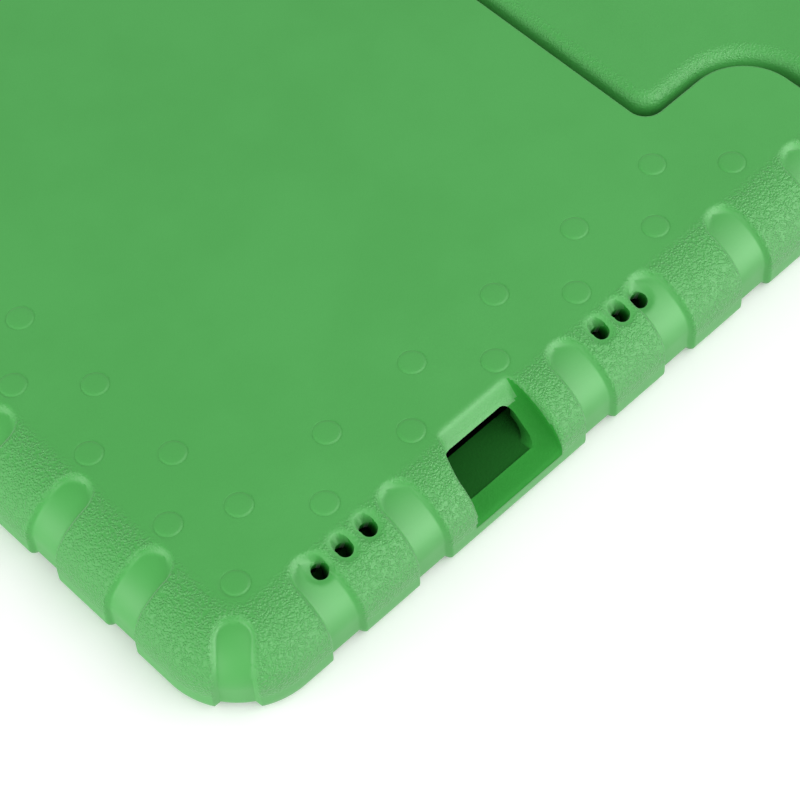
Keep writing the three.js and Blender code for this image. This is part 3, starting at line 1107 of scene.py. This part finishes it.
def coarse_pebble():
    """Round grains on a bent grid, and how deep the hollows between them are."""
    group, enter, leave = new_group(
        "coarse_pebble", [("Vector", VECTOR, None), ("Scale", FLOAT, 900.0)],
        [("Height", FLOAT), ("Hollow", FLOAT)],
    )
    where, scale = enter.outputs["Vector"], enter.outputs["Scale"]
    warp = put(group, "ShaderNodeTexNoise", {"Vector": where, "Detail": 1.0,
               "Scale": calc(group, "MULTIPLY", scale, 0.4)})
    push = put(group, "ShaderNodeVectorMath", {0: warp.outputs["Color"], 1: PEBBLE_WARP},
               operation="MULTIPLY")
    bent = put(group, "ShaderNodeVectorMath", {0: where, 1: push.outputs[0]}, operation="ADD")
    grains = put(group, "ShaderNodeTexVoronoi", {"Vector": bent.outputs[0], "Scale": scale,
                 "Randomness": 1.0}, feature="F1")
    bumps = put(group, "ShaderNodeMapRange", {"Value": grains.outputs["Distance"],
                "From Min": 0.15, "From Max": 0.75, "To Min": 1.0, "To Max": 0.0},
                interpolation_type="SMOOTHSTEP").outputs["Result"]
    rough = put(group, "ShaderNodeTexNoise", {"Vector": bent.outputs[0], "Detail": 2.0,
                "Scale": calc(group, "MULTIPLY", scale, 1.3)})
    height = calc(group, "MULTIPLY_ADD", rough.outputs["Fac"], 0.35, bumps)
    group.links.new(height, leave.inputs["Height"])
    group.links.new(calc(group, "SUBTRACT", 1.0, bumps), leave.inputs["Hollow"])
    return group


# %% Cloudy tone group


def cloudy_tone():
    """Soft clouds of two colours, and how far a place is into the second one."""
    group, enter, leave = new_group(
        "cloudy_tone",
        [("Vector", VECTOR, None), ("Scale", FLOAT, 30.0), ("Base", COLOUR, WHITE),
         ("Other", COLOUR, WHITE)],
        [("Color", COLOUR), ("Cloud", FLOAT)],
    )
    cloud = put(group, "ShaderNodeTexNoise", {"Vector": enter.outputs["Vector"],
                "Scale": enter.outputs["Scale"], "Detail": 4.0, "Roughness": 0.6})
    spread = put(group, "ShaderNodeMapRange", {"Value": cloud.outputs["Fac"], "From Min": 0.35,
                 "From Max": 0.65}, interpolation_type="SMOOTHSTEP").outputs["Result"]
    colour = mix(group, spread, enter.outputs["Base"], enter.outputs["Other"])
    group.links.new(colour, leave.inputs["Color"])
    group.links.new(spread, leave.inputs["Cloud"])
    return group


leather_group = fine_leather()
pebble_group = coarse_pebble()
tone_group = cloudy_tone()

# %% [markdown]
# ## The foam's finish
# The case is one even, slightly satin green. The masks choose how much of each grain a
# place gets, and the heights are in metres, so a single bump node with a distance of one
# shows them at their real depth. The colour carries painted shade: darker in the pebble's
# hollows, and near-black green deep in the recess and the holes. Faces there get a shaded
# copy of the foam without its sheen and gloss, which light from outside would not reach.

# %% Foam material
FOAM_GREEN = (0.036, 0.372, 0.043, 1.0)
FOAM_LIGHT = (0.041, 0.388, 0.049, 1.0)
# Near-black green mixed in by the painted-shade mask: painted shade in the recess, behind the
# window and down the holes.
FOAM_PAINTED_SHADE = (0.0005, 0.008, 0.001, 1.0)
# Darker green painted into the pebble's hollows: painted shade.
FOAM_HOLLOW_SHADE = (0.018, 0.30, 0.024, 1.0)
FOAM_SHINE = 1.0
# Gloss of the shaded copy, for faces under painted shade.
SHADED_SHINE = 0.08
FOAM_SHEEN = 0.22
SHEEN_ROUGHNESS = 0.5
FOAM_ROUGHNESS = 0.55
CLOUD_ROUGHNESS = 0.05
GROOVE_ROUGHNESS = -0.03
GROOVE_SMOOTHING = 0.7
HOLLOW_SHADE_SHARE = 0.35
GRAIN_SCALE = 1400.0
CLOUD_SCALE = 26.0
LEATHER_DEPTH = 0.00004
PEBBLE_DEPTH = 0.00021


def placed(tree, group, **values):
    """A shader group placed in a material, and its outputs."""
    return put(tree, "ShaderNodeGroup", values, node_tree=group).outputs


def mask(tree, name):
    """One of the masks painted on the meshes."""
    return put(tree, "ShaderNodeAttribute", attribute_name=name).outputs["Fac"]


def new_material(name):
    """A material, its tree, its shader and the place on the object."""
    material = bpy.data.materials.new(name)
    material.use_nodes = True
    tree = material.node_tree
    where = put(tree, "ShaderNodeTexCoord").outputs["Object"]
    return material, tree, tree.nodes["Principled BSDF"], where


def add_relief(tree, shader, height):
    """A height in metres, shown as bump."""
    bump = put(tree, "ShaderNodeBump", {"Height": height, "Distance": 1.0, "Strength": 1.0})
    tree.links.new(bump.outputs["Normal"], shader.inputs["Normal"])


def foam_material(name, shine, sheen):
    """The green foam, whose masks choose its grain and its painted shade."""
    material, tree, shader, where = new_material(name)
    pebble, groove = mask(tree, "pebble"), mask(tree, "groove")
    leather = placed(tree, leather_group, Vector=where, Scale=GRAIN_SCALE)
    coarse = placed(tree, pebble_group, Vector=where, Scale=GRAIN_SCALE)
    tone = placed(tree, tone_group, Vector=where, Scale=CLOUD_SCALE, Base=FOAM_GREEN,
                  Other=FOAM_LIGHT)
    # Painted shade in the hollows of the pebble grain, on the rim only.
    hollow_shade = calc(tree, "MULTIPLY", coarse["Hollow"], pebble)
    hollow_shade = calc(tree, "MULTIPLY", hollow_shade, HOLLOW_SHADE_SHARE)
    colour = mix(tree, hollow_shade, tone["Color"], FOAM_HOLLOW_SHADE)
    # Painted shade: the painted-shade mask darkens the colour towards near-black green.
    tree.links.new(mix(tree, mask(tree, "shade"), colour, FOAM_PAINTED_SHADE), shader.inputs["Base Color"])
    satin = calc(tree, "MULTIPLY_ADD", tone["Cloud"], CLOUD_ROUGHNESS, FOAM_ROUGHNESS)
    satin = calc(tree, "MULTIPLY_ADD", groove, GROOVE_ROUGHNESS, satin)
    tree.links.new(satin, shader.inputs["Roughness"])
    fine = calc(tree, "SUBTRACT", 1.0, calc(tree, "MULTIPLY", groove, GROOVE_SMOOTHING))
    fine = calc(tree, "MULTIPLY", fine, leather["Height"])
    relief = calc(tree, "MULTIPLY", calc(tree, "MULTIPLY", coarse["Height"], pebble), PEBBLE_DEPTH)
    add_relief(tree, shader, calc(tree, "MULTIPLY_ADD", fine, LEATHER_DEPTH, relief))
    shader.inputs["Specular IOR Level"].default_value = shine
    shader.inputs["Sheen Weight"].default_value = sheen
    shader.inputs["Sheen Roughness"].default_value = SHEEN_ROUGHNESS
    return material


foam = foam_material("green_foam", FOAM_SHINE, FOAM_SHEEN)
# A shaded copy of the foam, with little gloss and no sheen, for faces under painted shade.
shaded_foam = foam_material("green_foam_shaded", SHADED_SHINE, 0.0)

# %% [markdown]
# ## The pins' finish
# The two hinge pins are plain turned plastic of a deeper green, seen only in the trench.
# They keep their CAD meshes and get a smoother, finer-grained material.

# %% Pin material
PIN_GREEN = (0.020, 0.150, 0.024, 1.0)
PIN_LIGHT = (0.028, 0.180, 0.032, 1.0)
PIN_ROUGHNESS = 0.34
PIN_CLOUD_ROUGHNESS = 0.10
PIN_GRAIN_SCALE = 2600.0
PIN_CLOUD_SCALE = 160.0
PIN_GRAIN_DEPTH = 0.000015


def pin_material():
    """The pins' plastic, smoother than the foam."""
    material, tree, shader, where = new_material("green_plastic")
    leather = placed(tree, leather_group, Vector=where, Scale=PIN_GRAIN_SCALE)
    tone = placed(tree, tone_group, Vector=where, Scale=PIN_CLOUD_SCALE, Base=PIN_GREEN,
                  Other=PIN_LIGHT)
    tree.links.new(tone["Color"], shader.inputs["Base Color"])
    satin = calc(tree, "MULTIPLY_ADD", tone["Cloud"], PIN_CLOUD_ROUGHNESS, PIN_ROUGHNESS)
    tree.links.new(satin, shader.inputs["Roughness"])
    add_relief(tree, shader, calc(tree, "MULTIPLY", leather["Height"], PIN_GRAIN_DEPTH))
    return material


plastic = pin_material()
for node_name in ("hinge_pin_port_end", "hinge_pin_far_end"):
    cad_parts[node_name].material_slots[0].material = plastic

# %% Dress the shell and the handle
FLAT_ANGLE = math.radians(40)
# Faces whose painted shade is above this everywhere get the shaded copy.
SHADED_COPY_FROM = 0.08


def dress(piece):
    """Smooth shading that keeps flat faces flat, and the foam's two materials: the shaded copy
    where painted shade lies.
    """
    piece.data.materials.clear()
    for material in (foam, shaded_foam):
        piece.data.materials.append(material)
    shade = np.empty(len(piece.data.vertices))
    piece.data.attributes["shade"].data.foreach_get("value", shade)
    for polygon in piece.data.polygons:
        # Faces wholly under painted shade get the shaded copy of the foam.
        polygon.material_index = int(shade[list(polygon.vertices)].min() > SHADED_COPY_FROM)
    piece.data.shade_smooth()
    piece.data.set_sharp_from_angle(angle=FLAT_ANGLE)
    level = piece.modifiers.new("even_shading", "WEIGHTED_NORMAL")
    level.mode = "FACE_AREA"
    level.weight = 50
    level.keep_sharp = True


dress(shell)
dress(handle)
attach(shell, "case")
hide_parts("case_body")
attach(handle, "handle")
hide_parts("handle_stand")
print("shell and handle stand for the two foam solids")

# %% [markdown]
# ## Floor, light and backdrop
# The photograph is lit by large soft lights and much fill, on white. A pale floor takes
# the case's shadow. The camera sees it a little brighter, and white far off, where no lamp
# reaches it. Under the tablet's empty room the floor is painted near black, a painted shade,
# so that the port and the holes look into the dark, as they do with a tablet in the case.

# %% Floor
FLOOR_REACH = 3.0
FLOOR_DROP = 0.0003
FLOOR_WHITE = (0.94, 0.94, 0.94, 1.0)
# Painted shade: near black under the tablet's room, standing in for the dark inside the case.
FLOOR_PAINTED_SHADE = (0.01, 0.01, 0.01, 1.0)
FLOOR_LIFT = 0.14
FLOOR_ROUGHNESS = 0.9
FLOOR_SHINE = 0.1
# Middle and half size of the painted-shade patch under the room.
UNDER_MIDDLE = -0.043
UNDER_HALF = (0.083, 0.118)
WHITE_FLOOR = (0.45, 1.2)


def floor_material():
    """Pale all round, painted shade under the tablet's room, and lifted for camera rays only."""
    material, tree, shader, where = new_material("pale_floor")
    spot = put(tree, "ShaderNodeSeparateXYZ", {0: where}).outputs
    across = calc(tree, "ABSOLUTE", calc(tree, "SUBTRACT", spot["X"], UNDER_MIDDLE))
    past_x = calc(tree, "SUBTRACT", across, UNDER_HALF[0])
    past_y = calc(tree, "SUBTRACT", calc(tree, "ABSOLUTE", spot["Y"]), UNDER_HALF[1])
    open_floor = calc(tree, "GREATER_THAN", calc(tree, "MAXIMUM", past_x, past_y), 0.0)
    # Painted shade under the room, pale floor elsewhere.
    tree.links.new(mix(tree, open_floor, FLOOR_PAINTED_SHADE, FLOOR_WHITE), shader.inputs["Base Color"])
    away = put(tree, "ShaderNodeVectorMath", {0: where}, operation="LENGTH").outputs["Value"]
    far_off = put(tree, "ShaderNodeMapRange", {
        "Value": away, "From Min": WHITE_FLOOR[0], "From Max": WHITE_FLOOR[1]}).outputs["Result"]
    lift = calc(tree, "MULTIPLY_ADD", open_floor, FLOOR_LIFT, far_off)
    seen = put(tree, "ShaderNodeLightPath").outputs["Is Camera Ray"]
    tree.links.new(calc(tree, "MULTIPLY", seen, lift), shader.inputs["Emission Strength"])
    shader.inputs["Emission Color"].default_value = WHITE
    shader.inputs["Roughness"].default_value = FLOOR_ROUGHNESS
    shader.inputs["Specular IOR Level"].default_value = FLOOR_SHINE
    return material


bm = bmesh.new()
bmesh.ops.create_grid(bm, x_segments=4, y_segments=4, size=FLOOR_REACH)
bmesh.ops.translate(bm, verts=bm.verts, vec=(0.0, 0.0, -FLOOR_DROP))
floor = new_piece("floor", bm)
floor.data.materials.append(floor_material())

# %% Lights
LAMP_AIM = Vector((-0.04, -0.08, 0.01))


def area_lamp(name, way, distance, size, radiance):
    """A soft lamp, wide and low, that looks at the case from a direction."""
    data = bpy.data.lights.new(name, "AREA")
    data.shape = "RECTANGLE"
    data.size, data.size_y = size
    data.energy = radiance * math.pi * size[0] * size[1]
    lamp = bpy.data.objects.new(name, data)
    bpy.context.scene.collection.objects.link(lamp)
    way = Vector(way).normalized()
    turn = way.to_track_quat("Z", "Y").to_matrix().to_4x4()
    lamp.matrix_world = Matrix.Translation(LAMP_AIM + way * distance) @ turn
    return lamp


# Sizes in metres; the last number is the lamp's radiance. The card gives gloss only.
area_lamp("port_side_light", (0.30, -0.62, 0.72), 1.2, (1.4, 1.2), 1.8)
card_lamp = area_lamp("low_port_side_card", (0.36, -0.88, 0.22), 1.1, (1.5, 0.8), 3.2)
card_lamp.visible_diffuse = False
area_lamp("long_side_light", (-0.9, 0.1, 0.30), 1.2, (1.4, 0.8), 2.8)

# %% World
WORLD_FILL = 0.46


def white_world():
    """An even fill, which the camera sees as white."""
    world = bpy.data.worlds.new("white_world")
    world.use_nodes = True
    sky = world.node_tree
    seen = put(sky, "ShaderNodeLightPath").outputs["Is Camera Ray"]
    strength = calc(sky, "MULTIPLY_ADD", seen, 1.0 - WORLD_FILL, WORLD_FILL)
    sky.links.new(strength, sky.nodes["Background"].inputs["Strength"])
    sky.nodes["Background"].inputs["Color"].default_value = WHITE
    return world


bpy.context.scene.world = white_world()
bpy.context.scene.view_settings.view_transform = "Standard"
